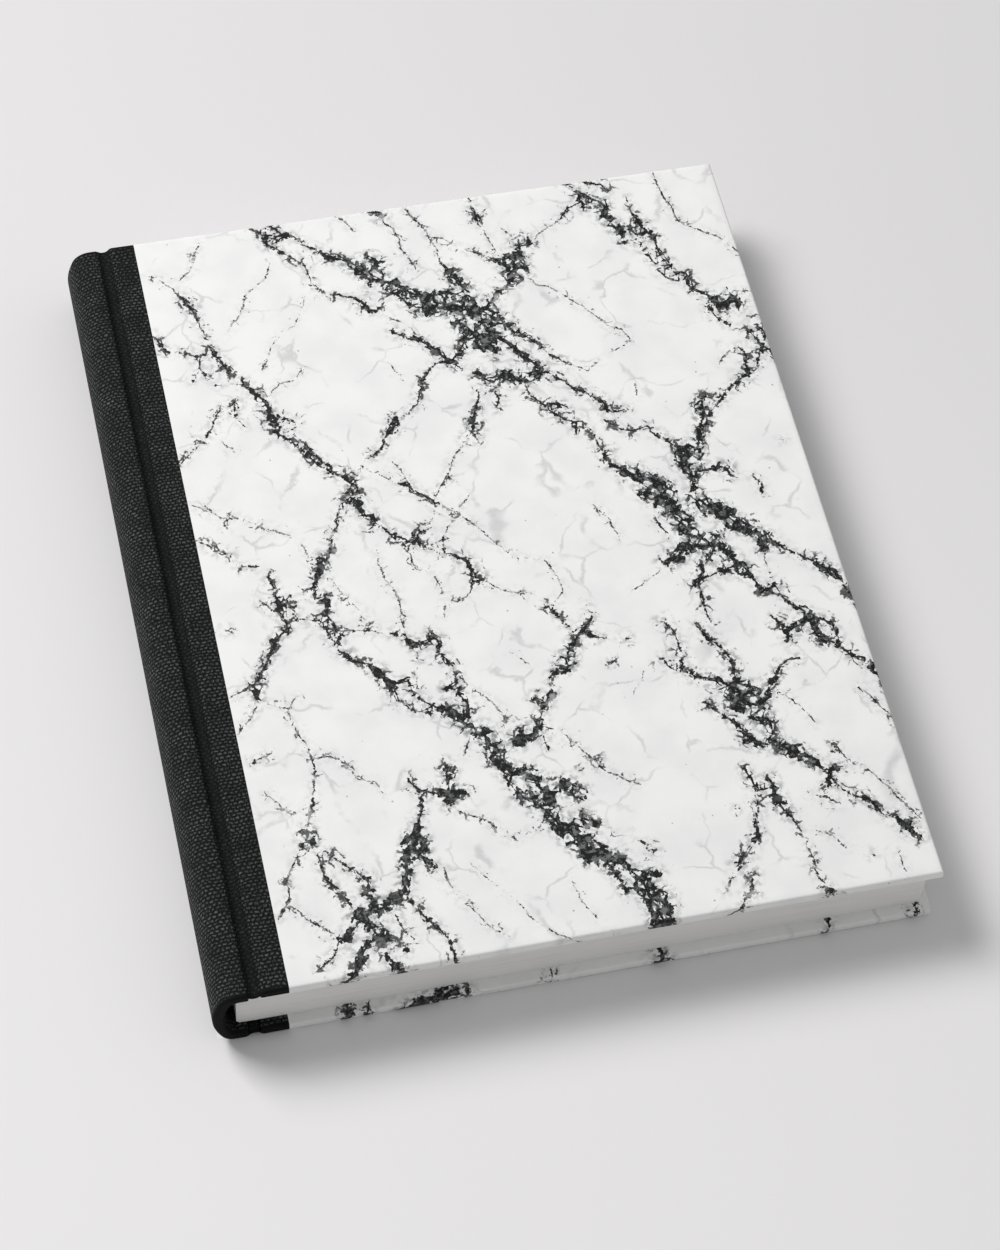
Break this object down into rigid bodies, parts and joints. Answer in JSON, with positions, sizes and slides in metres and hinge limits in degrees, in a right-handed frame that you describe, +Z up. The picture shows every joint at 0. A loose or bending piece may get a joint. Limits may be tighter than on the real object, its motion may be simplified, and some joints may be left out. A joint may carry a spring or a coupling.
{
  "type": "composition notebook",
  "caption": "Hardcover composition notebook, quarter bound: cloth spine with pressed grooves, marbled paper over boards, plain leaves, both covers hinged.",
  "frame": {"origin": "under the middle of the closed book's footprint, on the surface it lies on", "axes": "+Y from tail to head along the spine, +Z up from the back cover to the front cover, +X from spine to fore-edge"},
  "size_m": [0.201, 0.254, 0.0249],
  "materials": {
    "page_paper": "uncoated writing paper, cut edges",
    "endpaper": "uncoated heavier paper",
    "marbled_paper": "matt printed cover paper",
    "book_cloth": "black sized book cloth",
    "mull_gauze": "open cotton gauze",
    "grey_board": "uncoated grey board"
  },
  "bodies": {
    "book_block": {"text_block": "page_paper", "mull": "mull_gauze", "front_flyleaf": "endpaper", "back_flyleaf": "endpaper", "spine_board": "grey_board", "spine_cloth": "book_cloth"},
    "front_cover": {"front_board": "grey_board", "front_board_cloth": "book_cloth", "front_cover_paper": "marbled_paper", "front_mull_flap": "mull_gauze", "front_pastedown": "endpaper"},
    "back_cover": {"back_board": "grey_board", "back_board_cloth": "book_cloth", "back_cover_paper": "marbled_paper", "back_mull_flap": "mull_gauze", "back_pastedown": "endpaper"}
  },
  "joints": [
    {"name": "front_cover_hinge", "type": "hinge", "parent": "book_block", "child": "front_cover", "pos_m": [-0.0892, 0, 0.02495], "axis": [0, -1, 0], "range_deg": [0, 180]},
    {"name": "back_cover_hinge", "type": "hinge", "parent": "book_block", "child": "back_cover", "pos_m": [-0.0892, 0, -0.0003], "axis": [0, 1, 0], "range_deg": [0, 180]}
  ]
}
